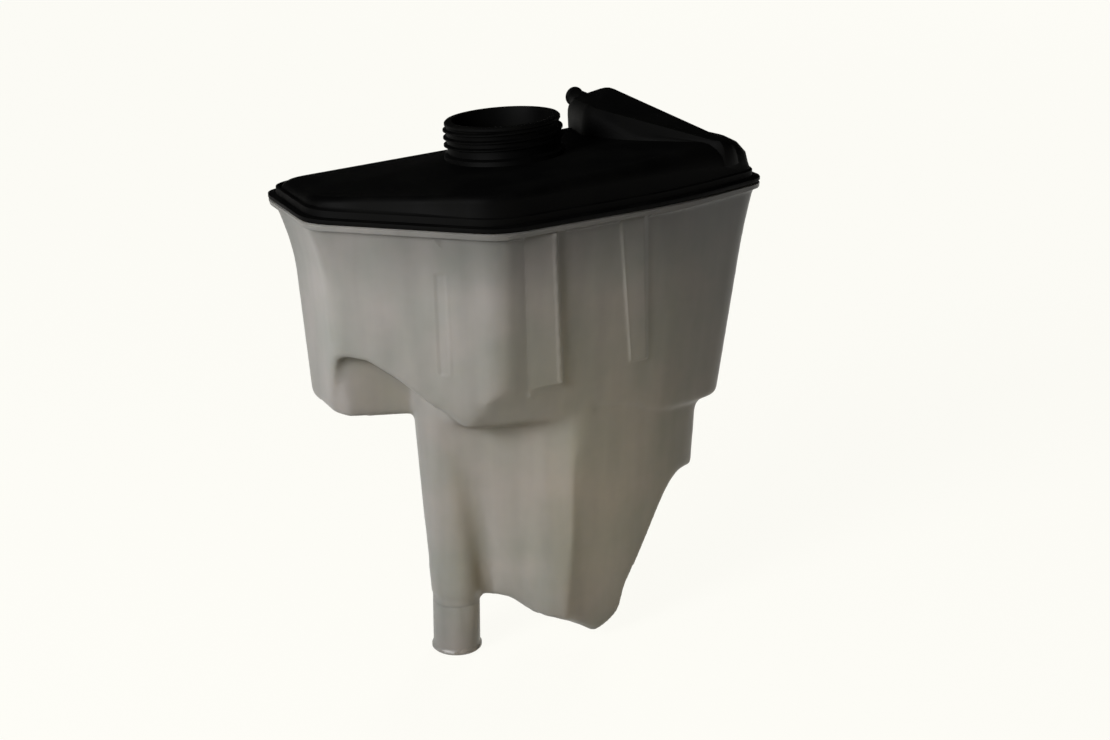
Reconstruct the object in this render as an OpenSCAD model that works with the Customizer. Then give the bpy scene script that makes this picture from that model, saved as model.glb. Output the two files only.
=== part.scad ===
// Coolant expansion tank of a car: two plastic shells welded along one flat seam.
// The lower shell is milky and carries the outlet leg, the upper shell is black and
// carries the filler neck and the vent nipple. The outlet mouth is at the origin.

/* [Seam outline] */
// Length of the front left side
front_left_len = 101; // [94:1:112]
// Length of the left side, from the front left corner backwards
left_len = 69; // [64:0.2:80]
// Length of the front right side, up to its bend
front_right_len = 113; // [106:1:124]
// Length of the bent part of the front right side
bent_len = 70.4; // [64:0.2:78]
// Length of the back right side
back_right_len = 120.2; // [112:0.2:130]
// Direction of the front right side
front_right_dir = 48.4; // [46:0.2:51]
// Direction of the bent part
bent_dir = 59.7; // [57:0.1:63]
// Direction of the back right side
back_right_dir = 135; // [131:0.5:139]
// Direction of the left side
left_dir = 128.4; // [125:0.2:132]

/* [Walls] */
// Wall thickness of the lower shell
wall = 2.5; // [2:0.1:3.2]
// Wall thickness of the upper shell
lid_wall = 2.5; // [2:0.1:3.2]
// How far the welding lip stands out from the wall
lip_out = 2; // [1.5:0.1:3]
// Height of the lip on the lower shell
lip_h = 3; // [2:0.2:4]
// Inward slope of the body walls, in mm for each mm of depth
body_draft = 0.1; // [0.07:0.01:0.12]

/* [Body] */
// Depth of the body under the seam on the left
body_h = 108; // [102:1:114]
// How much deeper the body is on the right
body_drop = 8; // [4:1:12]
// How far the left wall sweeps inward under the lip
flare = 7; // [3:0.5:9]
// Depth at which the sweep ends
flare_h = 38; // [30:1:46]
// Depth of the front left panel at its left end
panel_h = 71; // [62:1:80]
// Depth of the front right wall at the front corner
corner_h = 84; // [78:1:90]

/* [Flutes] */
// Depth at which the two flutes end
flute_h = 83; // [74:1:84]
// Width of a flute along the wall
flute_w = 19; // [16:0.5:21]
// Depth of a flute
flute_d = 6.5; // [4:0.5:8]

/* [Leg and outlet] */
// Depth of the lowest point of the leg
leg_h = 241; // [232:1:244]
// Depth of the end of the outlet
outlet_h = 246; // [240:1:256]
// Place of the outlet to the left of the front corner
outlet_left = 39; // [37:0.5:41]
// Place of the outlet behind the front left side
outlet_back = 46; // [44:0.5:48]
// Outer radius of the outlet
outlet_r = 12.75; // [12:0.05:13.5]
// Radius of the outlet bore
outlet_bore_r = 10; // [8.5:0.1:10.5]
// Outer radius of the bead at the outlet end
outlet_bead_r = 13.6; // [13.55:0.05:14.5]
// Straight length of the outlet under the column
outlet_len = 34; // [30:1:38]
// Radius of the column at the top
column_top_r = 15.5; // [14:0.1:17]

/* [Lid] */
// Thickness of the lid flange
flange_t = 3; // [2.4:0.1:4]
// Height of the lid top over the seam at the front corner
lid_h = 18.5; // [16:0.5:22]
// Tilt of the lid top, rising to the right
lid_tilt = 4; // [2:0.2:5]
// Depth of the groove over the flange
groove_d = 3.4; // [2.4:0.1:4.4]
// Height of the raised vent chamber at its left end
chamber_h = 36; // [33:0.5:39]

/* [Filler neck] */
// Outer radius of the neck
neck_r = 30.2; // [29:0.1:31]
// Radius of the neck bore
neck_bore_r = 27; // [25:0.1:27.6]
// Height of the neck over the lid top
neck_h = 20; // [17:0.5:24]

/* [Vent nipple] */
// Outer radius of the nipple
vent_r = 4.6; // [4.2:0.1:5]
// Radius of the nipple bore
vent_bore_r = 2.5; // [2:0.1:2.8]
// Radius over the nipple bead
vent_bead_r = 5.6; // [5.2:0.1:6.2]
// Free length of the nipple
vent_len = 20; // [16:0.5:26]

/* [Hidden] */
fine = 96;

// Directions, normals and lines in plan
function dir(a) = [cos(a), sin(a)];
function out_normal(a) = [sin(a), -cos(a)];
function mix(a, b, t) = a + (b - a) * t;
function cross2(a, b) = a[0] * b[1] - a[1] * b[0];
function line_meet(n1, d1, n2, d2) =
    [d1 * n2[1] - d2 * n1[1], n1[0] * d2 - n2[0] * d1] / cross2(n1, n2);
function level(p, z) = [p[0], p[1], z];
function flat(p) = [p[0], p[1]];

// Corners of the seam outline, counter-clockwise from the front left. Here the front
// corner of the seam is the zero point; each shell is moved to the outlet at the end.
p_left_front = [-front_left_len, 0];
p_front = [0, 0];
p_bend = p_front + front_right_len * dir(front_right_dir);
p_right = p_bend + bent_len * dir(bent_dir);
p_back = p_right + back_right_len * dir(back_right_dir);
p_left = p_left_front + left_len * dir(left_dir);
to_origin = [outlet_left, -outlet_back, outlet_h];

// Each side is its outward normal and the distance of its seam line
function side(a, b) = let (n = out_normal(atan2(b[1] - a[1], b[0] - a[0]))) [n, n * a];
front_left = side(p_left_front, p_front);
front_right = side(p_front, p_bend);
bent = side(p_bend, p_right);
back_right = side(p_right, p_back);
back_left = side(p_back, p_left);
left = side(p_left, p_left_front);

// Where two sides meet once each has moved inward, and a point on a side moved inward
function corner(s1, e1, s2, e2) = line_meet(s1[0], s1[1] - e1, s2[0], s2[1] - e2);
function along(s, e, t) = s[0] * (s[1] - e) + t * [-s[0][1], s[0][0]];

// A bend of a polyline turned into a quadratic curve of n parts
bend_share = 0.46;
function bend_at(a, b, c, r, n) = n == 0 ? [b] :
    let (p = b + (a - b) * min(r / norm(a - b), bend_share),
         q = b + (c - b) * min(r / norm(c - b), bend_share))
    [for (i = [0 : n]) let (t = i / n) (1 - t) * (1 - t) * p + 2 * t * (1 - t) * b + t * t * q];
function round_rail(rail, radii, parts) = let (last = len(rail) - 1)
    [for (i = [0 : last]) each (i == 0 || i == last ? [rail[i]] :
        bend_at(rail[i - 1], rail[i], rail[i + 1], radii[i], parts[i]))];
function round_ring(ring, radii, parts) = let (n = len(ring))
    [for (i = [0 : n - 1]) each bend_at(ring[(i + n - 1) % n], ring[i], ring[(i + 1) % n],
        radii[i], parts[i])];

// A ring moved inward by w in plan and up by lift
function edge_normal(a, b) = let (d = flat(b) - flat(a)) [d[1], -d[0]] / norm(d);
function shrink(ring, w, lift) = let (n = len(ring))
    [for (i = [0 : n - 1])
        let (n1 = edge_normal(ring[(i + n - 1) % n], ring[i]),
             n2 = edge_normal(ring[i], ring[(i + 1) % n]),
             m = (n1 + n2) / (1 + n1 * n2))
        ring[i] - [w * m[0], w * m[1], -lift]];

// Rows of corners, one row for each level, become rings with rounded levels and corners
function columns(rows) = [for (j = [0 : len(rows[0]) - 1]) [for (r = rows) r[j]]];
function blend(rows, row_radii, row_parts, corner_radii, corner_parts) =
    let (rails = [for (rail = columns(rows)) round_rail(rail, row_radii, row_parts)])
    [for (ring = columns(rails)) round_ring(ring, corner_radii, corner_parts)];

// Closed solid through rings of equal length, the first ring on top. The lower end is
// closed by a strip that starts between the points fold - 1 and fold.
module loft(rings, fold) {
    n = len(rings[0]);
    base = (len(rings) - 1) * n;
    polyhedron(
        points = [for (r = rings) each r],
        faces = concat(
            [[for (j = [n - 1 : -1 : 0]) j]],
            [for (i = [0 : len(rings) - 2], j = [0 : n - 1])
                let (a = i * n + j, b = i * n + (j + 1) % n)
                each [[a, b, b + n], [a, b + n, a + n]]],
            [for (i = [0 : n / 2 - 2])
                let (a = base + (fold + i) % n, b = base + (fold + i + 1) % n,
                     c = base + (fold - 2 - i + n) % n, d = base + (fold - 1 - i + n) % n)
                each [[a, b, c], [a, c, d]]]));
}

// Insets of the outer walls at a depth h under the seam
back_draft = 0.12;
sweep_draft = 0.055;
function swept(h) = flare * sin(90 * min(h, flare_h) / flare_h);
function inset(h) = lip_out + body_draft * h;
function inset_bent(h) = lip_out + (body_draft - 0.01) * h;
function inset_left(h) = lip_out + sweep_draft * h + swept(h);
function inset_back(h) = lip_out + back_draft * h + swept(h) / 2;

// The body's corners: left front, three on the front left panel, front, five of the front
// flute, two at the edge over the leg, three of the rear flute, bend, right, back, three on
// the back left side, left, and one low on the left side. The distances t run along the
// front right side.
panel_x = [-74, -58, -22];
flute_t = [14.7, 73];
flute_slant = [0.1, 0.17];
flute_side = 0.66;
crease_share = 0.55;
crease_depth = 0.34;
lead_out = 1.4;
edge_t = [44, 48];
edge_slant = 0.075;
back_shares = [0.22, 0.48, 0.74];
low_share = 0.2;
function flute_front(h, f) = let (t = flute_t[0] + flute_slant[0] * h, d = f * flute_d) [
    [t, 0], [t + flute_side * flute_d, d],
    [t + crease_share * flute_w, crease_depth * d],
    [t + flute_w - lead_out, crease_depth * d / 2], [t + flute_w, 0]];
function flute_rear(h, f) = let (t = flute_t[1] + flute_slant[1] * h, d = f * flute_d) [
    [t, 0], [t + flute_side * flute_d, d], [t + flute_w - (flute_slant[1] - body_draft) * h, 0]];
function on_front_right(p, h, out) =
    level(along(front_right, inset(h) - out + p[1], p[0]), -h);
function wall_row(h, f, out) = let (
        start = corner(left, inset_left(h[0]) - out, front_left, inset(h[0]) - out),
        back = corner(back_right, inset_back(h[17]) - out, back_left, inset_back(h[17]) - out),
        end = corner(back_left, inset_back(h[21]) - out, left, inset_left(h[21]) - out),
        low = corner(left, inset_left(h[22]) - out, front_left, inset(h[22]) - out))
    concat(
        [level(start, -h[0])],
        [for (k = [0 : 2]) [panel_x[k], inset(h[k + 1]) - out, -h[k + 1]]],
        [level(corner(front_left, inset(h[4]) - out, front_right, inset(h[4]) - out), -h[4])],
        [for (k = [0 : 4]) on_front_right(flute_front(h[k + 5], f)[k], h[k + 5], out)],
        [for (k = [0 : 1]) on_front_right([edge_t[k] + edge_slant * h[k + 10], 0], h[k + 10], out)],
        [for (k = [0 : 2]) on_front_right(flute_rear(h[k + 12], f)[k], h[k + 12], out)],
        [level(corner(front_right, inset(h[15]) - out, bent, inset_bent(h[15]) - out), -h[15])],
        [level(corner(bent, inset_bent(h[16]) - out, back_right, inset_back(h[16]) - out), -h[16])],
        [level(back, -h[17])],
        [for (k = [0 : 2]) level(mix(back, end, back_shares[k]), -h[k + 18])],
        [level(end, -h[21])],
        [level(mix(low, end, low_share), -h[22])]);
function same(h) = [for (k = [0 : 22]) h];

// Depths of the corners at the end of the flutes, under it and at the foot of the walls
deep = body_h + body_drop + 2;
flute_end = flute_h + 3;
front_foot_slope = 0.36;
front_foot_start = 7.6;
function front_foot(t) = corner_h + front_foot_slope * (t - front_foot_start);
edge_foot = front_foot(edge_t[1] + edge_slant * body_h);
h_flute = concat([panel_h - 19, panel_h - 19, panel_h - 16, panel_h - 11, corner_h - 24],
    [for (k = [5 : 22]) flute_h]);
h_under = concat([panel_h - 9, panel_h - 9, panel_h - 3, corner_h, corner_h - 10],
    [for (k = [5 : 14]) flute_end], [for (k = [15 : 22]) mix(flute_end, body_h, 0.45)]);
h_foot = concat([panel_h, panel_h + 2.5, panel_h + 12, body_h + 1, corner_h],
    [for (p = flute_front(flute_end, 0)) front_foot(p[0])],
    [edge_foot - 1, edge_foot],
    [for (t = [0.45, 0.55, 0.75]) mix(edge_foot, deep, t)],
    [deep, deep + 2, deep + 1, deep - 1, deep - 4, deep - 7, body_h - 2, body_h - 4]);

// Points of the underside: the shelf behind the foot of the panel, the bevel under the
// front corner, and the step round the top of the leg
leg_edge = [24.6, 49];
leg_dir = 49.3;
leg_draft = 0.056;
leg_face_h = body_h + 5;
function leg_at(t, h) = level(leg_edge + t * dir(leg_dir)
    - leg_draft * (h - leg_face_h) * out_normal(leg_dir), -h);
leg_top_t = [0, 35, 40.5, 48, 67];
step_in = 2;
round_in = 5;
recess_xy = [[-90, 16], [-75, 26.5], [-59, 38]];
shelf_h = [panel_h + 0.5, panel_h + 3, panel_h + 12.5];
bevel_xy = [[-24, 19], [-12, 22], [-8, 24.5], [-3.5, 27], [1, 30], [5, 32.6], [9, 35.2], [18, 41.5]];
bevel_h = body_h + 2;
bevel_back = 4;
low_corner = [[-94, 20], [-91.5, 22.5]];
belly = [0, 90];
belly_share = 0.12;
foot_row = wall_row(h_foot, 0, 0);
inner_row = wall_row(h_foot, 0, -step_in);
round_row = wall_row(h_foot, 0, -round_in);
row_shelf = concat(
    [for (k = [0 : 2]) level(recess_xy[k], -shelf_h[k])],
    [for (p = bevel_xy) level(p, -bevel_h)],
    [for (k = [11 : 15]) inner_row[k] - [0, 0, 1]],
    [for (k = [16 : 21]) round_row[k] - [0, 0, 0.8]],
    [level(low_corner[0], -body_h + 0.6)]);
row_bottom = concat(
    [for (k = [0 : 2]) level(recess_xy[k], -body_h)],
    [for (p = bevel_xy) level(p + [0, bevel_back], -bevel_h - 0.3)],
    [for (k = [0 : 4]) leg_at(leg_top_t[k] - 1, -inner_row[k + 11][2] + 2.6)],
    [level([82.5, 131.5], round_row[16][2] - 1)],
    [for (k = [17 : 21]) mix(round_row[k], level(belly, round_row[k][2] - 1), belly_share)],
    [level(low_corner[1], -body_h - 0.1)]);

// The leg in four rows of corners, from its top to its lower edge. In each row the corners
// at the column come first, then the valley, the ridge, the face with its shallow band, the
// edge and the right face by distances t, the right end and the back.
leg_nominal = 241;
leg_fixed_h = 136;
function down(h) = h > leg_fixed_h ?
    leg_fixed_h + (h - leg_fixed_h) * (leg_h - leg_fixed_h) / (leg_nominal - leg_fixed_h) : h;
function leg_row(front, right, back) = concat([for (p = front) level(p, -down(p[2]))],
    [for (p = right) leg_at(p[0], down(p[1]))], [for (p = back) level(p, -down(p[2]))]);
top_h = body_h + 4;
leg_top_drop = [1, 4, 5.5, 8, 12];
mid_h = leg_fixed_h;
low_h = 176;
row_leg_top = leg_row(
    [[-54, 53, top_h], [-57.5, 46, top_h], [-57, 40, top_h], [-43.5, 33.2, top_h],
     [-34, 34, top_h], [-24, 36.6, top_h], [-14, 39.2, top_h], [-4, 41.6, top_h],
     [13.2, 45.7, top_h], [14, 47.2, top_h], [22.8, 50, top_h]],
    [for (k = [0 : 4]) [leg_top_t[k], top_h + leg_top_drop[k]]],
    [[80.6, 127, top_h + 13], [62, 138, top_h + 12], [44, 118, top_h + 8],
     [23, 98.5, top_h + 5], [1, 83.4, top_h + 3], [-20, 68, top_h + 1], [-46, 58, top_h]]);
row_leg_mid = leg_row(
    [[-50, 51, mid_h], [-52, 43, mid_h], [-49, 38, mid_h], [-42.5, 34.2, mid_h],
     [-33.5, 35.4, mid_h], [-24.5, 38, mid_h], [-17, 39.4, mid_h], [-5, 42, mid_h],
     [13, 46.2, mid_h], [14, 47.4, mid_h], [24.3, 51, mid_h]],
    [[3.5, mid_h], [31, mid_h], [39, mid_h], [48.5, mid_h], [67.5, mid_h]],
    [[80.2, 127, mid_h], [62, 137, mid_h], [44, 117, mid_h],
     [22.5, 98, mid_h], [0.5, 83, mid_h], [-20.5, 67.5, mid_h], [-44, 57, mid_h]]);
row_leg_low = leg_row(
    [[-46, 51, low_h], [-47, 43, low_h], [-44, 38, low_h], [-38, 37, low_h],
     [-30, 39, low_h], [-23, 45.5, low_h], [-13.5, 43, low_h], [-4, 44.2, low_h],
     [12, 46.8, low_h], [14.5, 47.6, low_h], [25, 53, low_h]],
    [[7, low_h], [26, low_h], [37.5, low_h], [50, low_h - 11], [69, low_h - 29]],
    [[79.4, 127, low_h - 28], [62, 134, low_h - 26], [43, 115, low_h - 9],
     [21, 96, low_h], [0, 82, low_h], [-21, 66.5, low_h], [-40, 56, low_h]]);
row_leg_foot = leg_row(
    [[-43, 51, 212], [-45, 43, 212], [-40, 39, 212], [-33, 42, 212],
     [-27, 47, 214], [-19, 52, 216], [-9, 51, 216.5], [-2, 50.8, 219.5],
     [4.5, 49.2, 223.5], [12, 47.8, 225.5], [21.5, 50.3, 227.5]],
    [[11, 233], [22, 241], [36.8, 230.5], [52, 198.5], [71, 156]],
    [[79, 127, 158], [62, 131, 161], [42, 112, 198], [19, 94, 227], [0, 81, 237],
     [-22, 65, 214], [-36, 56, 212]]);
across = [22, 4, 4, 0, 21, 21, 21, 21, 21, 21, 21, 20, 20, 19, 18, 17, 17, 16, 14, 13, 12, 8, 0];
under_share = 0.14;
under_drop = 1;
row_leg_under = [for (k = [0 : 22])
    mix(row_leg_foot[k], row_leg_foot[across[k]], under_share) - [0, 0, under_drop]];

// Rounding of the levels and of the corners
corner_radii = [12, 0, 0, 0, 15, 0, 0, 0, 0, 0, 0, 2.5, 0, 0, 0, 30, 12, 20, 0, 0, 0, 14, 0];
corner_parts = [4, 0, 0, 0, 5, 0, 0, 0, 0, 0, 0, 3, 0, 0, 0, 4, 4, 4, 0, 0, 0, 9, 0];
fold = 6;
flare_levels = [10, 20, 30];
seam_bevel = 0.7;
outer_rows = concat(
    [wall_row(same(0), 0, lip_out - seam_bevel),
     wall_row(same(seam_bevel), 0, lip_out + body_draft * seam_bevel),
     wall_row(same(lip_h), 0, lip_out + body_draft * lip_h),
     wall_row(same(lip_h + 0.6), 1, 0)],
    [for (h = flare_levels) wall_row(same(h), 1, 0)],
    [wall_row(same(flare_h), 1, 0), wall_row(h_flute, 1, 0), wall_row(h_under, 0, 0), foot_row,
     row_shelf, row_bottom, row_leg_top, row_leg_mid, row_leg_low, row_leg_foot, row_leg_under]);
outer_radii = [0, 0, 0, 0, 0, 0, 0, 0, 0, 0, 3, 2, 5, 3, 12, 12, 4, 0];
outer_parts = [0, 0, 0, 0, 0, 0, 0, 0, 0, 0, 2, 0, 3, 2, 2, 2, 3, 0];
inside_rows = concat(
    [[for (p = shrink(outer_rows[3], wall, 0)) level(p, 1)]],
    [for (i = [4 : 9]) shrink(outer_rows[i], wall, 0)],
    [for (i = [10 : 13]) shrink(outer_rows[i], wall, wall)],
    [for (i = [14 : 15]) shrink(outer_rows[i], wall, 0)],
    [for (i = [16 : 17]) shrink(outer_rows[i], wall + 1, wall + 3)]);
inner_radii = [0, 0, 0, 0, 0, 0, 0, 2, 0, 3, 2, 12, 12, 2, 0];
inner_parts = [0, 0, 0, 0, 0, 0, 0, 2, 0, 2, 2, 2, 2, 2, 0];

// The column leans a little and ends over the straight outlet
column_xy = [-outlet_left - 6, outlet_back + 1];
column_base_h = outlet_h - outlet_len;
column_h = body_h + 2;
column_start = panel_h + 8;
function circle_at(c, r, z) = [for (i = [0 : fine / 2 - 1])
    level(c + r * dir(i * 720 / fine), z)];
function column_rings(w, z_low) = [for (h = [column_start - w, column_h, column_base_h])
    let (t = (h - column_h) / (column_base_h - column_h), s = max(t, 0))
    circle_at(mix(column_xy, [-outlet_left, outlet_back], s),
        mix(column_top_r, outlet_r + 0.6, s) - w, t == 1 ? -z_low : -h)];
bead_w = 4;

module outlet() {
    translate([-outlet_left, outlet_back, -outlet_h]) rotate_extrude($fn = fine)
        polygon([[0, 0], [outlet_bead_r - 1, 0], [outlet_bead_r, 1], [outlet_bead_r, bead_w - 1.4],
            [outlet_r, bead_w], [outlet_r, outlet_len + 4], [0, outlet_len + 4]]);
}

module lower_shell() {
    color("beige") translate(to_origin) difference() {
        union() {
            loft(blend(outer_rows, outer_radii, outer_parts, corner_radii, corner_parts), fold);
            loft(column_rings(0, column_base_h), fine / 4);
            outlet();
        }
        loft(blend(inside_rows, inner_radii, inner_parts, corner_radii, corner_parts), fold);
        loft(column_rings(wall, column_base_h - 4), fine / 4);
        translate([-outlet_left, outlet_back, -outlet_h - 1])
            cylinder(r = outlet_bore_r, h = outlet_len + 8, $fn = fine);
    }
}

// Lid: rings by corner, with the edge rounding of each corner
lid_sides = [[left, front_left], [front_left, front_right], [front_right, bent],
    [bent, back_right], [back_right, back_left], [back_left, left]];
lid_round = [4, 4, 8, 16, 16, 5];
lid_radii = [12, 15, 30, 12, 20, 14];
lid_parts = [4, 5, 4, 4, 4, 9];
groove_top = 7;
side_in = 4.4;
side_draft = 0.05;
round_steps = 4;
function lid_top(p) = lid_h + tan(lid_tilt) * p[0];
function lid_corner(k, e) = corner(lid_sides[k][0], e, lid_sides[k][1], e);
function lid_edge(k, w, a) = let (
        r = lid_round[k],
        e = side_in + side_draft * lid_h + r * (1 - cos(a)) + w,
        p = lid_corner(k, e))
    level(p, lid_top(p) - r * (1 - sin(a)) - (w > 0 ? lid_wall : 0));
function lid_row(e, z) = [for (k = [0 : 5]) level(lid_corner(k, e), z)];
function lid_rings(w) = [for (row = concat(
        [for (i = [round_steps : -1 : 0]) [for (k = [0 : 5]) lid_edge(k, w, i * 90 / round_steps)]],
        w > 0 ? [lid_row(side_in + lid_wall, 6), lid_row(side_in + lid_wall, -1)] :
            [lid_row(side_in, groove_top), lid_row(groove_d, groove_top - 0.6),
             lid_row(groove_d, flange_t), lid_row(0, flange_t - 0.5),
             lid_row(0, seam_bevel), lid_row(seam_bevel, 0)]))
    round_ring(row, lid_radii, lid_parts)];

// Raised vent chamber along the back right side, corners counter-clockwise from above
chamber_top = [[43, 134.5, 25.3], [88, 122.5, 25.3], [92.6, 127, 24.6], [10, 206.5, chamber_h],
    [-6, 184, chamber_h - 3.5], [11.5, 150, chamber_h]];
chamber_mid = [[41.5, 132, 22.5], [90.5, 121, 22.5], [96.5, 129, 21.5], [13, 210.5, chamber_h - 8],
    [-10, 184, chamber_h - 8], [9, 148, chamber_h - 4]];
chamber_low = [[40, 130, 12], [92.5, 121, 12], [98, 132, 12], [19.5, 210.5, 12], [-9, 184, 12],
    [7.5, 146.5, 12]];
chamber_rows = [chamber_top, chamber_mid, chamber_low];
chamber_radii = [5, 4, 4, 6, 6, 5];
chamber_parts = [3, 2, 2, 3, 3, 3];
function chamber_rings(w) = blend(
    [for (i = [0 : 2]) shrink(chamber_rows[i], w, i == 2 ? (w > 0 ? -4 : 0) : -w)],
    [0, 5, 0], [0, 3, 0], chamber_radii, chamber_parts);

// Filler neck
neck_xy = [-25, 104.7];
neck_lean = 4;
neck_z = lid_top(neck_xy);
collar_out = 2.2;
collar_h = 2.4;
rim_out = 0.8;
module at_neck() {
    translate(level(neck_xy, neck_z)) rotate([0, -neck_lean, 0]) children();
}
module neck() {
    at_neck() rotate_extrude($fn = fine)
        polygon([[0, -4], [neck_r + collar_out, -4], [neck_r + collar_out, collar_h],
            [neck_r, collar_h + 1], [neck_r, neck_h - 2.6], [neck_r + rim_out, neck_h - 2],
            [neck_r + rim_out, neck_h - 0.8], [neck_r, neck_h], [0, neck_h]]);
}

// Vent nipple
vent_tip = [-9.5, 203.5, 30];
vent_dir = 128;
vent_root = 12;
vent_bore_past = 2;
vent_bead_w = 3;
module at_vent() {
    translate(vent_tip) rotate([0, 90, vent_dir]) rotate([0, 180, 0]) children();
}
module nipple() {
    at_vent() rotate_extrude($fn = fine)
        polygon([[0, 0], [vent_bead_r - 1.4, 0], [vent_bead_r, 1.4], [vent_bead_r, 1.8],
            [vent_r, vent_bead_w], [vent_r, vent_len + vent_root], [0, vent_len + vent_root]]);
}

module upper_shell() {
    color([0.1, 0.1, 0.11]) translate(to_origin) difference() {
        union() {
            loft(lid_rings(0), 6);
            loft(chamber_rings(0), 4);
            neck();
            nipple();
        }
        loft(lid_rings(lid_wall), 6);
        loft(chamber_rings(lid_wall), 4);
        at_neck() translate([0, 0, -10]) cylinder(r = neck_bore_r, h = neck_h + 12, $fn = fine);
        at_vent() translate([0, 0, -1])
            cylinder(r = vent_bore_r, h = vent_len + vent_bore_past + 1, $fn = fine);
    }
}

lower_shell();
upper_shell();
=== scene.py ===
import math

import bpy
import numpy as np
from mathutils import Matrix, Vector


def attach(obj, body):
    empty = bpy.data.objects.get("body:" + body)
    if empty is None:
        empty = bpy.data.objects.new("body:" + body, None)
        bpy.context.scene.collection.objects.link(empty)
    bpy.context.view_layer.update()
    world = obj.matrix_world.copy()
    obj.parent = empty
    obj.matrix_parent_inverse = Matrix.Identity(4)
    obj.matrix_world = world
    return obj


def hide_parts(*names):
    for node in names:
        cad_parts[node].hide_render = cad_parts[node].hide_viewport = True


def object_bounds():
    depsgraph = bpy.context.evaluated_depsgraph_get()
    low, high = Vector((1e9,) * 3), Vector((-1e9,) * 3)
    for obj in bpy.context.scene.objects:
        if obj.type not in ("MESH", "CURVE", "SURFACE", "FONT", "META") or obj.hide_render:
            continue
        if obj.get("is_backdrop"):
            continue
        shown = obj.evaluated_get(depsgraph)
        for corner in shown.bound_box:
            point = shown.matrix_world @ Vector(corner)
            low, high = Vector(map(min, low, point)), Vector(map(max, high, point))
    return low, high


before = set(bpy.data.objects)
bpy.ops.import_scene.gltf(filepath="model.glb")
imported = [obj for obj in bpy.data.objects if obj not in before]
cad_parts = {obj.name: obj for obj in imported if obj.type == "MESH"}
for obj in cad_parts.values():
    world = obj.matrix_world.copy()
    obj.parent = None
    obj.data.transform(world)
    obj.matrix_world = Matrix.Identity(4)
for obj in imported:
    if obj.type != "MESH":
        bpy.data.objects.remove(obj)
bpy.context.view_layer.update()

# Sizes of the tank's neck and its screw thread, in millimetres
MM = 0.001
FRONT_CORNER = Vector((39.0, -46.0, 246.0))
NECK_BASE = FRONT_CORNER + Vector((-25.0, 104.7, 16.752))
NECK_LEAN = math.radians(-4.0)
THREAD_CREST = 32.0
THREAD_CREST_HALF = 0.35
THREAD_ROOT = 29.8
THREAD_ROOT_HALF = 1.15
THREAD_PITCH = 4.0
THREAD_TURNS = 3
THREAD_START = 5.2
THREAD_STEPS = 72
THREAD_RUN_OUT = math.radians(40)
THREAD_LEAST_HEIGHT = 0.05

# How a copy of a CAD node is made whole: the reach of a merge in millimetres, and the
# angle up to which neighbouring faces count as one flat face
MERGE_REACH = 0.01
FLAT_ANGLE = math.radians(0.5)

# Edges sharper than this stay sharp in the shading
SHELL_SHADE_ANGLE = math.radians(32)
THREAD_SHADE_ANGLE = math.radians(40)

# Share of the floor that shows its own white, the rest shows light and shadow
FLOOR_WHITE = 0.95


def linear(hex_colour):
    """An sRGB hex colour as linear red, green, blue and alpha."""
    parts = [int(hex_colour[i:i + 2], 16) / 255 for i in (0, 2, 4)]
    return [c / 12.92 if c <= 0.04045 else ((c + 0.055) / 1.055) ** 2.4 for c in parts] + [1.0]


def add_node(owner, kind, links=(), inputs=(), **settings):
    """Adds a node, sets its settings and inputs, and links other nodes' outputs to it."""
    made = owner.node_tree.nodes.new(kind)
    for name, value in settings.items():
        setattr(made, name, value)
    for name, value in inputs:
        made.inputs[name].default_value = value
    for name, source, output in links:
        owner.node_tree.links.new(source.outputs[output], made.inputs[name])
    return made


def new_material(name):
    """An empty node material with its output node."""
    material = bpy.data.materials.new(name)
    material.use_nodes = True
    material.node_tree.nodes.clear()
    output = material.node_tree.nodes.new("ShaderNodeOutputMaterial")
    return material, output


# Painted shade on the milky wall, darker towards both ends, close under the lid and down the
# outlet:
# axis, lowest and highest place in millimetres, and the tone at each share of the way: along its
# length, up under the lid, and down its outlet
MILKY_PAINTED_SHADES = [
    ("X", -100, 146, [(0.0, 0.55), (1.0, 0.42), (0.17, 1.0), (0.64, 1.0)]),
    ("Z", 203, 246, [(0.0, 1.0), (1.0, 0.5)]),
    ("Z", 0, 180, [(0.0, 0.7), (1.0, 1.0), (0.3, 0.89), (0.75, 0.91)]),
]
# Towards the left end the painted shade under the lid weakens: from this place on, to this share
LID_SHADE_WEAK_X = -60
LID_SHADE_FULL_X = 30
LID_SHADE_WEAKEST = 0.45


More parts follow.
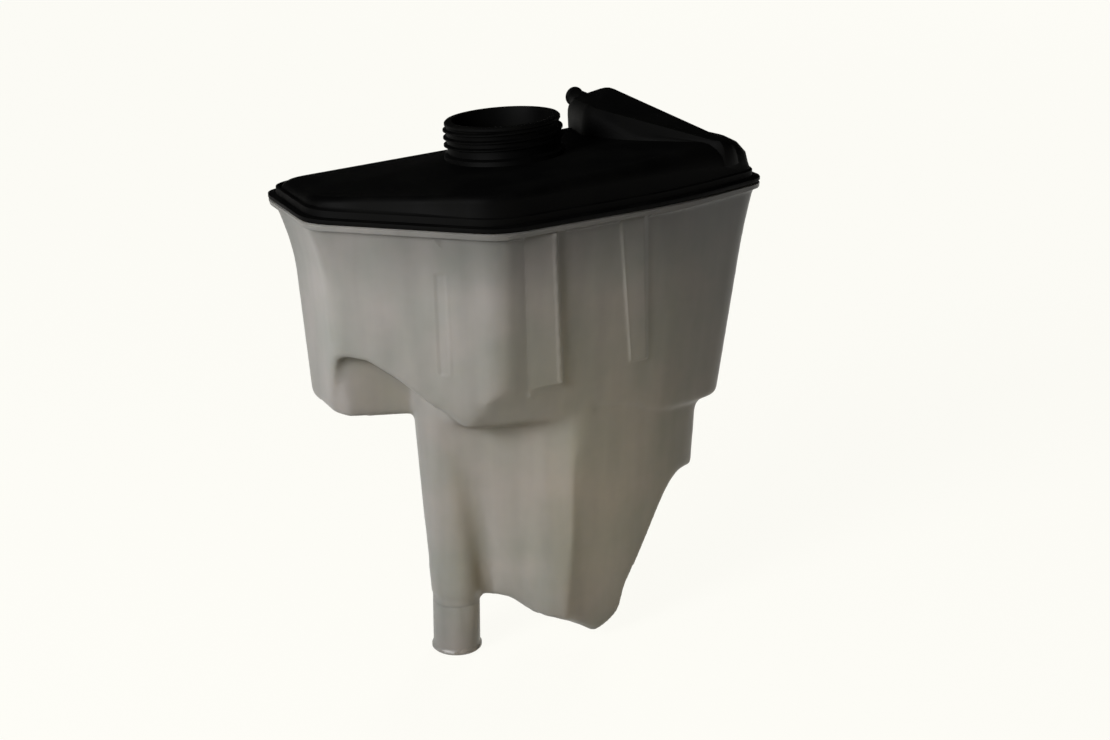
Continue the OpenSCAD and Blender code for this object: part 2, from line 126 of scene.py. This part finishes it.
def milky_polypropylene():
    """Unfilled polypropylene, injection moulded: waxy and cloudy, so light sinks in and the
    wall looks soft and streaked along its height. Painted shade darkens it towards both ends,
    close under the black lid and down the outlet."""
    material, output = new_material("milky_polypropylene")
    place = add_node(material, "ShaderNodeTexCoord")
    clouds = add_node(material, "ShaderNodeTexNoise", [("Vector", place, "Object")],
                      [("Scale", 1 / (38 * MM)), ("Detail", 3.0), ("Roughness", 0.55)])
    stretched = add_node(material, "ShaderNodeMapping", [("Vector", place, "Object")],
                         [("Scale", (1.0, 1.0, 0.12))])
    streaks = add_node(material, "ShaderNodeTexNoise", [("Vector", stretched, "Vector")],
                       [("Scale", 1 / (13 * MM)), ("Detail", 2.0), ("Roughness", 0.5)])
    grain = add_node(material, "ShaderNodeTexNoise", [("Vector", place, "Object")],
                     [("Scale", 1 / (0.9 * MM)), ("Detail", 2.0)])
    tint = add_node(material, "ShaderNodeValToRGB", [("Fac", clouds, "Fac")])
    tint.color_ramp.elements[0].position = 0.36
    tint.color_ramp.elements[0].color = linear("95958F")
    tint.color_ramp.elements[1].position = 0.66
    tint.color_ramp.elements[1].color = linear("A39E9A")
    streak_tone = add_node(material, "ShaderNodeMapRange", [("Value", streaks, "Fac")],
                           [("From Min", 0.3), ("From Max", 0.7),
                            ("To Min", 0.9), ("To Max", 1.06)])
    streaked = add_node(material, "ShaderNodeVectorMath",
                        [("Vector", tint, "Color"), ("Scale", streak_tone, "Result")],
                        operation="SCALE")
    where = add_node(material, "ShaderNodeSeparateXYZ", [("Vector", place, "Object")])
    # Painted shade multiplied into the colour: darker towards both ends, under the lid and down the
    # outlet
    painted_shades = []
    for axis, low, high, stops in MILKY_PAINTED_SHADES:
        part = add_node(material, "ShaderNodeMapRange", [("Value", where, axis)],
                        [("From Min", low * MM), ("From Max", high * MM)])
        shade = add_node(material, "ShaderNodeValToRGB", [("Fac", part, "Result")])
        shade.color_ramp.interpolation = "EASE"
        for number, (spot, grey) in enumerate(stops):
            stop = (shade.color_ramp.elements[number] if number < 2
                    else shade.color_ramp.elements.new(spot))
            stop.position = spot
            stop.color = (grey, grey, grey, 1)
        painted_shades.append(shade)
    painted_length_shade, painted_lid_shade, painted_height_shade = painted_shades
    # The painted shade under the lid is weaker towards the left end
    lid_shade_strength = add_node(material, "ShaderNodeMapRange", [("Value", where, "X")],
                            [("From Min", LID_SHADE_WEAK_X * MM), ("From Max", LID_SHADE_FULL_X * MM),
                             ("To Min", LID_SHADE_WEAKEST), ("To Max", 1.0)])
    painted_lid_shade = add_node(material, "ShaderNodeMix",
                        [("Factor", lid_shade_strength, "Result"), ("B", painted_lid_shade, "Color")],
                        [("A", 1.0)])
    shaded = streaked
    for painted_tone in (painted_length_shade, painted_lid_shade, painted_height_shade):
        shaded = add_node(material, "ShaderNodeVectorMath",
                          [(0, shaded, 0), (1, painted_tone, 0)], operation="MULTIPLY")
    relief = add_node(material, "ShaderNodeBump", [("Height", grain, "Fac")],
                      [("Strength", 0.12), ("Distance", 0.05 * MM)])
    surface = add_node(material, "ShaderNodeBsdfPrincipled",
                       [("Base Color", shaded, "Vector"), ("Normal", relief, "Normal")],
                       [("Roughness", 0.4), ("IOR", 1.49), ("Subsurface Weight", 0.5),
                        ("Subsurface Radius", (1.0, 0.9, 0.72)), ("Subsurface Scale", 9 * MM)])
    material.node_tree.links.new(surface.outputs[0], output.inputs["Surface"])
    return material


def black_polypropylene():
    """Carbon-filled polypropylene, injection moulded: deep black with a faint satin sheen."""
    material, output = new_material("black_polypropylene")
    place = add_node(material, "ShaderNodeTexCoord")
    grain = add_node(material, "ShaderNodeTexNoise", [("Vector", place, "Object")],
                     [("Scale", 1 / (0.8 * MM)), ("Detail", 3.0)])
    wear = add_node(material, "ShaderNodeTexNoise", [("Vector", place, "Object")],
                    [("Scale", 1 / (25 * MM)), ("Detail", 4.0)])
    sheen = add_node(material, "ShaderNodeMapRange", [("Value", wear, "Fac")],
                     [("From Min", 0.3), ("From Max", 0.7), ("To Min", 0.55), ("To Max", 0.7)])
    dust = add_node(material, "ShaderNodeValToRGB", [("Fac", wear, "Fac")])
    dust.color_ramp.elements[0].position = 0.4
    dust.color_ramp.elements[0].color = linear("020202")
    dust.color_ramp.elements[1].position = 0.75
    dust.color_ramp.elements[1].color = linear("080807")
    relief = add_node(material, "ShaderNodeBump", [("Height", grain, "Fac")],
                      [("Strength", 0.15), ("Distance", 0.05 * MM)])
    surface = add_node(material, "ShaderNodeBsdfPrincipled",
                       [("Base Color", dust, "Color"), ("Roughness", sheen, "Result"),
                        ("Normal", relief, "Normal")],
                       [("IOR", 1.49), ("Specular IOR Level", 0.06)])
    material.node_tree.links.new(surface.outputs[0], output.inputs["Surface"])
    return material


def floor_paper():
    """Matte white studio paper, shown as white as its print and with the tank's soft shadow.
    It throws less light back at the tank than real paper, as a larger room would."""
    material, output = new_material("floor_paper")
    white = linear("FFFEF8")
    paper = add_node(material, "ShaderNodeBsdfDiffuse", (), [("Color", white)])
    dim_paper = add_node(material, "ShaderNodeBsdfDiffuse", (), [("Color", linear("7A7975"))])
    glow = add_node(material, "ShaderNodeEmission", (), [("Color", white), ("Strength", 1.0)])
    ray = add_node(material, "ShaderNodeLightPath")
    seen = add_node(material, "ShaderNodeMath",
                    [(0, ray, "Is Camera Ray"), (1, ray, "Is Glossy Ray")], operation="ADD")
    seen_too = add_node(material, "ShaderNodeMath",
                        [(0, seen, "Value"), (1, ray, "Is Transmission Ray")],
                        operation="ADD", use_clamp=True)
    share = add_node(material, "ShaderNodeMath", [(0, seen_too, "Value")], [(1, FLOOR_WHITE)],
                     operation="MULTIPLY")
    bounced = add_node(material, "ShaderNodeMixShader",
                       [("Fac", ray, "Is Diffuse Ray"), (1, paper, "BSDF"), (2, dim_paper, "BSDF")])
    mixed = add_node(material, "ShaderNodeMixShader",
                     [("Fac", share, "Value"), (1, bounced, "Shader"), (2, glow, "Emission")])
    material.node_tree.links.new(mixed.outputs[0], output.inputs["Surface"])
    return material


MILKY = milky_polypropylene()
BLACK = black_polypropylene()


def pick_only(piece):
    """Makes a piece the only one selected and the active one."""
    bpy.ops.object.select_all(action="DESELECT")
    piece.select_set(True)
    bpy.context.view_layer.objects.active = piece


def dress(piece, material):
    """Gives a finished piece its material and its body."""
    piece.data.materials.clear()
    piece.data.materials.append(material)
    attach(piece, "root")


def moulded_copy(node_name, piece_name):
    """A copy of a CAD node with its loose triangles joined to whole faces."""
    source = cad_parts[node_name]
    piece = source.copy()
    piece.data = source.data.copy()
    piece.name = piece_name
    piece.data.name = piece_name
    piece.parent = None
    bpy.context.scene.collection.objects.link(piece)
    pick_only(piece)
    bpy.ops.object.mode_set(mode="EDIT")
    bpy.ops.mesh.select_all(action="SELECT")
    bpy.ops.mesh.remove_doubles(threshold=MERGE_REACH * MM)
    bpy.ops.mesh.dissolve_limited(angle_limit=FLAT_ANGLE)
    bpy.ops.object.mode_set(mode="OBJECT")
    return piece


def corners_of(piece):
    """The places of a piece's corners in millimetres, one row each."""
    places = np.empty(len(piece.data.vertices) * 3)
    piece.data.vertices.foreach_get("co", places)
    return places.reshape(-1, 3) / MM


def inside(places, low, high):
    """Which corners lie in a box of space."""
    return ((places >= low) & (places <= high)).all(axis=1)


def select_corners(piece, chosen):
    """Selects these corners of a piece, and the faces whose corners are all among them."""
    pick_only(piece)
    mesh = piece.data
    mesh.edges.foreach_set("select", np.zeros(len(mesh.edges), dtype=bool))
    mesh.polygons.foreach_set("select", np.zeros(len(mesh.polygons), dtype=bool))
    mesh.vertices.foreach_set("select", chosen)
    bpy.context.tool_settings.mesh_select_mode = (True, False, False)
    bpy.ops.object.mode_set(mode="EDIT")
    bpy.ops.mesh.select_mode(type="VERT")


def soften(piece, zones):
    """Rounds off what lies in each box of space, as a mould maker blends an edge."""
    for low, high, rounds in zones:
        select_corners(piece, inside(corners_of(piece), low, high))
        bpy.ops.mesh.vertices_smooth(factor=0.5, repeat=rounds)
        bpy.ops.object.mode_set(mode="OBJECT")


def push(piece, centre, reach, shift):
    """Moves what lies within reach of a point, fading to nothing at the reach."""
    places = corners_of(piece)
    apart = np.linalg.norm(places - np.array(centre), axis=1) / reach
    share = np.clip(1 - apart ** 2, 0, 1) ** 2
    places += share[:, None] * np.array(shift)
    piece.data.vertices.foreach_set("co", (places * MM).ravel())
    piece.data.update()


def emboss(piece, left, right, foot, low, high, heights):
    """Draws the outer skin between two leaning lines in a wall to a drawn relief."""
    mesh = piece.data
    places = corners_of(piece)
    facing = np.empty(len(mesh.vertices) * 3)
    mesh.vertex_normals.foreach_get("vector", facing)
    facing = facing.reshape(-1, 3)
    down = EMBOSS_TOP - places[:, 2:3]
    start = np.array(left[0]) + down * np.array(left[1])
    end = np.array(right[0]) + down * np.array(right[1])
    along = end - start
    wide = np.linalg.norm(along, axis=1, keepdims=True)
    along /= wide
    out = np.stack([along[:, 1], -along[:, 0]], axis=1)
    offset = places[:, :2] - start
    share = (offset * along).sum(axis=1) / wide[:, 0]
    depth = (offset * out).sum(axis=1)
    outward = (facing[:, :2] * out).sum(axis=1)
    chosen = ((share >= 0) & (share <= 1) & (depth > -EMBOSS_REACH_IN) & (depth < EMBOSS_REACH_OUT)
              & (places[:, 2] > foot) & (places[:, 2] < EMBOSS_CEILING)
              & (outward > EMBOSS_LEAST_OUTWARD))
    relief = np.interp(share, [t for t, _ in heights], [h for _, h in heights])
    ends = np.clip((places[:, 2] - low) / EMBOSS_END_FADE, 0, 1)
    ends *= np.clip((high - places[:, 2]) / EMBOSS_END_FADE, 0, 1)
    relief *= ends
    places[chosen, :2] += ((relief - depth)[:, None] * out)[chosen]
    mesh.vertices.foreach_set("co", (places * MM).ravel())
    mesh.update()


def cut_away(piece, chosen, height, above):
    """Cuts the chosen corners' faces at a height, drops what is above or below the cut, and
    closes it."""
    select_corners(piece, chosen)
    bpy.ops.mesh.bisect(plane_co=(0, 0, height * MM), plane_no=(0, 0, 1), use_fill=True,
                        clear_outer=above, clear_inner=not above, threshold=0.001 * MM)
    bpy.ops.object.mode_set(mode="OBJECT")


# Milky lower shell, in millimetres: its skin is remade even and blended between two cuts,
# and the welding rim above and the spigot's end below stay exact
SKIN_GRID = 1.5
SKIN_FACES_KEPT = 0.33
SEAM_CUT = 242.6
SPIGOT_CUT = 28.5
ABOVE_LEG = ((-200, -200, 200), (200, 300, 300))
SPIGOT_BOX = ((-20, -30, -5), (24, 20, 33))
EVERYWHERE = ((-500, -500, -500), (500, 500, 500))

# Lowest and highest corner of a box of space, and the rounds of blending inside it
LOWER_SOFT = [
    ((-120, -60, 110), (160, 200, 240), 3),
    ((20, -60, 3), (160, 200, 110), 3),
    ((-16, -30, 50), (60, 30, 150), 20),
    ((-70, -40, 120), (-40, 0, 172), 10),
    ((0, -45, 115), (78, 14, 154), 40),
    ((45, -10, 3), (90, 45, 60), 8),
]
# The leg's lowest corner is fuller than its flat faces: centre, reach and shift
TOE = ((79, 29, 14), 20, (1.8, 1.2, -2.6))

# Embossing: the height at which its lines start, the skin it reaches in, out and up, how
# far a corner may face away from the wall, and the length over which its ends fade
EMBOSS_TOP = 230.0
EMBOSS_REACH_IN = 9
EMBOSS_REACH_OUT = 2
EMBOSS_CEILING = SEAM_CUT + 0.2
EMBOSS_LEAST_OUTWARD = -0.1
EMBOSS_END_FADE = 1.5
# Each flute: its left and right line at the top height and its lean per millimetre down, the
# lowest place it redraws, its lower and upper end, and its relief from left (0) to right (1)
FRONT_FLUTE = (((47.1, -31.4), (-0.008, 0.14)), ((63.6, -12.8), (0.005, 0.155)), 154.5, 158, 244,
               [(0, 0), (0.05, 0.1), (0.65, 1.9), (0.71, 2.7), (0.74, 2.6), (0.82, 0), (1, 0)])
REAR_FLUTE = (((86.6, 13.0), (0.038, 0.193)), ((98.5, 26.4), (-0.01, 0.142)), 154, 161, 244,
              [(0, 0), (0.07, 0.7), (0.14, 0.55), (0.8, 1.3), (1, 0)])
# A faint witness mark of the mould on the front wall, drawn in the same way
MOULD_MARK = (((3.2, -42.4), (0, 0.1)), ((10.4, -42.4), (0, 0.1)), 166, 168, 224,
              [(0, 0), (0.1, -0.55), (0.3, -0.35), (0.7, -0.1), (0.88, 0.3), (1, 0)])
FLUTES_FINE = ((40, -40, 150), (104, 40, 243))
MARK_FINE = ((1, -45, 165), (13, -33, 228))
EMBOSS_SOFT = [
    ((40, -40, 150), (104, 40, 240), 2),
    ((1, -45, 165), (13, -33, 228), 1),
]

lower = moulded_copy("lower_shell", "milky_lower_shell")
rim = moulded_copy("lower_shell", "crisp_rim")
pick_only(lower)
bpy.ops.object.modifier_add(type="REMESH")
skin = lower.modifiers[-1]
skin.mode = "VOXEL"
skin.voxel_size = SKIN_GRID * MM
bpy.ops.object.modifier_apply(modifier=skin.name)
for flute in (FRONT_FLUTE, REAR_FLUTE):
    emboss(lower, *flute)
soften(lower, LOWER_SOFT)
for low, high in (FLUTES_FINE, MARK_FINE):
    select_corners(lower, inside(corners_of(lower), low, high))
    bpy.ops.mesh.subdivide(number_cuts=1)
    bpy.ops.object.mode_set(mode="OBJECT")
for relief in (FRONT_FLUTE, REAR_FLUTE, MOULD_MARK):
    emboss(lower, *relief)
soften(lower, EMBOSS_SOFT)
push(lower, *TOE)
cut_away(lower, inside(corners_of(lower), *ABOVE_LEG), SEAM_CUT, True)
cut_away(lower, inside(corners_of(lower), *SPIGOT_BOX), SPIGOT_CUT, False)
pick_only(lower)
bpy.ops.object.modifier_add(type="DECIMATE")
thin = lower.modifiers[-1]
thin.ratio = SKIN_FACES_KEPT
bpy.ops.object.modifier_apply(modifier=thin.name)

everything = inside(corners_of(rim), *EVERYWHERE)
spigot = rim.copy()
spigot.data = rim.data.copy()
bpy.context.scene.collection.objects.link(spigot)
cut_away(rim, everything, SEAM_CUT, False)
cut_away(spigot, everything, SPIGOT_CUT, True)
select_corners(spigot, ~inside(corners_of(spigot), *SPIGOT_BOX))
bpy.ops.mesh.delete(type="VERT")
bpy.ops.object.mode_set(mode="OBJECT")
pick_only(lower)
rim.select_set(True)
spigot.select_set(True)
bpy.ops.object.join()
bpy.ops.object.shade_smooth_by_angle(angle=SHELL_SHADE_ANGLE)
dress(lower, MILKY)
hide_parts("lower_shell")

# Black upper shell: the CAD solid with its edges rounded as a mould leaves them
EDGE_ROUND = 0.6
EDGE_ROUND_FROM = math.radians(35)

upper = moulded_copy("upper_shell", "black_upper_shell")
pick_only(upper)
bpy.ops.object.modifier_add(type="BEVEL")
edge_round = upper.modifiers[-1]
edge_round.width = EDGE_ROUND * MM
edge_round.segments = 2
edge_round.limit_method = "ANGLE"
edge_round.angle_limit = EDGE_ROUND_FROM
bpy.ops.object.modifier_apply(modifier=edge_round.name)
bpy.ops.object.shade_smooth_by_angle(angle=SHELL_SHADE_ANGLE)
dress(upper, BLACK)
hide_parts("upper_shell")

# Screw thread of the filler neck: one bevelled profile, wound up the neck
bpy.ops.object.select_all(action="DESELECT")
bpy.ops.mesh.primitive_plane_add(size=1, location=(0, 0, 0), rotation=(math.pi / 2, 0, 0))
thread = bpy.context.active_object
thread.name = "filler_neck_thread"
thread.data.name = "filler_neck_thread"
bpy.ops.object.transform_apply(location=False, rotation=True, scale=False)
bpy.ops.object.mode_set(mode="EDIT")
bpy.ops.mesh.select_all(action="SELECT")
bpy.ops.mesh.delete(type="ONLY_FACE")
bpy.ops.object.mode_set(mode="OBJECT")
for corner in thread.data.vertices:
    outer = corner.co.x > 0
    half = THREAD_CREST_HALF if outer else THREAD_ROOT_HALF
    corner.co = Vector((THREAD_CREST if outer else THREAD_ROOT, 0,
                        half if corner.co.z > 0 else -half)) * MM
bpy.ops.object.modifier_add(type="SCREW")
wind = thread.modifiers[-1]
wind.axis = "Z"
wind.angle = math.radians(360 * THREAD_TURNS)
wind.screw_offset = THREAD_PITCH * THREAD_TURNS * MM
wind.steps = THREAD_STEPS * THREAD_TURNS
wind.render_steps = THREAD_STEPS * THREAD_TURNS
wind.use_smooth_shade = True
bpy.ops.object.modifier_apply(modifier=wind.name)
# Its crest rises out of the neck and sinks into it again over the run-out at each end
whole = math.radians(360 * THREAD_TURNS)
rise = THREAD_PITCH * MM / (2 * math.pi)
crest_from = (THREAD_ROOT + 0.5) * MM
for corner in thread.data.vertices:
    turned = math.atan2(corner.co.y, corner.co.x)
    laps = round((corner.co.z / rise - turned) / (2 * math.pi))
    travelled = turned + 2 * math.pi * laps
    fade = min(1.0, travelled / THREAD_RUN_OUT, (whole - travelled) / THREAD_RUN_OUT)
    radius = math.hypot(corner.co.x, corner.co.y)
    if radius > crest_from:
        height = (radius - THREAD_ROOT * MM) * max(fade, THREAD_LEAST_HEIGHT)
        wanted = THREAD_ROOT * MM + height
        corner.co.x *= wanted / radius
        corner.co.y *= wanted / radius
bpy.ops.object.mode_set(mode="EDIT")
bpy.ops.mesh.select_all(action="SELECT")
bpy.ops.mesh.remove_doubles(threshold=0.001 * MM)
bpy.ops.mesh.fill_holes(sides=4)
bpy.ops.mesh.normals_make_consistent(inside=False)
bpy.ops.object.mode_set(mode="OBJECT")
bpy.ops.object.shade_smooth_by_angle(angle=THREAD_SHADE_ANGLE)
thread.location = (NECK_BASE + THREAD_START * Vector((math.sin(NECK_LEAN), 0, 1))) * MM
thread.rotation_euler = (0, NECK_LEAN, 0)
pick_only(thread)
bpy.ops.object.transform_apply(location=True, rotation=True, scale=True)
dress(thread, BLACK)

# Floor, in metres, just under the tank
FLOOR_SIZE = 400
FLOOR_DROP = 0.0006

bpy.ops.object.select_all(action="DESELECT")
bpy.ops.mesh.primitive_plane_add(size=FLOOR_SIZE, location=(0, 0, -FLOOR_DROP))
floor = bpy.context.active_object
floor.name = "studio_floor"
floor.data.materials.append(floor_paper())
floor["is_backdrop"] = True


def lamp(name, place, aim, size, power):
    """A soft round area lamp, aimed at a point, which the camera doesn't see."""
    bpy.ops.object.select_all(action="DESELECT")
    bpy.ops.object.light_add(type="AREA", location=place)
    light = bpy.context.active_object
    light.name = name
    light.data.shape = "DISK"
    light.data.size = size
    light.data.energy = power
    light.visible_camera = False
    way = Vector(aim) - Vector(place)
    light.rotation_euler = way.to_track_quat("-Z", "Y").to_euler()
    return light


# Lamps, in metres and watts: the key from the front left, a weak one overhead, a small warm
# one low at the right that lifts the leg's toe, and one far behind that lights the back only
CENTRE = (0.02, 0.06, 0.15)
LEG_TOE = (0.08, 0.03, 0.03)
lamp("key_lamp", (-0.83, -1.63, 1.0), CENTRE, size=0.8, power=42)
lamp("top_lamp", (-0.3, 0.2, 2.0), CENTRE, size=1.4, power=1.5)
low_lamp = lamp("low_lamp", (0.4, -0.3, 0.02), LEG_TOE, size=0.25, power=0.09)
low_lamp.data.color = linear("FFE9B4")[:3]
low_lamp.data.spread = math.radians(45)
back_lamp = lamp("back_lamp", (0.3, 6.0, 2.0), CENTRE, size=2.4, power=210)
back_lamp.visible_glossy = False

# A dim room that the camera sees as the same white as the floor
ROOM_LIGHT = 0.02
ROOM_WHITE = 0.95
world = bpy.data.worlds.new("studio")
bpy.context.scene.world = world
world.use_nodes = True
sky = world.node_tree.nodes["Background"]
sky.inputs["Color"].default_value = linear("FFFEFA")
ray = add_node(world, "ShaderNodeLightPath")
strength = add_node(world, "ShaderNodeMath", [(0, ray, "Is Camera Ray")],
                    [(1, ROOM_WHITE - ROOM_LIGHT), (2, ROOM_LIGHT)], operation="MULTIPLY_ADD")
world.node_tree.links.new(strength.outputs["Value"], sky.inputs["Strength"])

# Camera at the photograph's place, angle in degrees and focal length
CAMERA_PLACE = (284.5 * MM, -993.6 * MM, 504.6 * MM)
CAMERA_DOWN = 18.5
CAMERA_TURN = 13
FAR_CLIP = 500
bpy.ops.object.camera_add(location=CAMERA_PLACE,
                          rotation=(math.radians(90 - CAMERA_DOWN), 0, math.radians(CAMERA_TURN)))
camera = bpy.context.active_object
camera.data.sensor_width = 36
camera.data.lens = 67.3
camera.data.clip_end = FAR_CLIP
bpy.context.scene.camera = camera

bpy.context.scene.view_settings.view_transform = "Standard"

low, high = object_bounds()
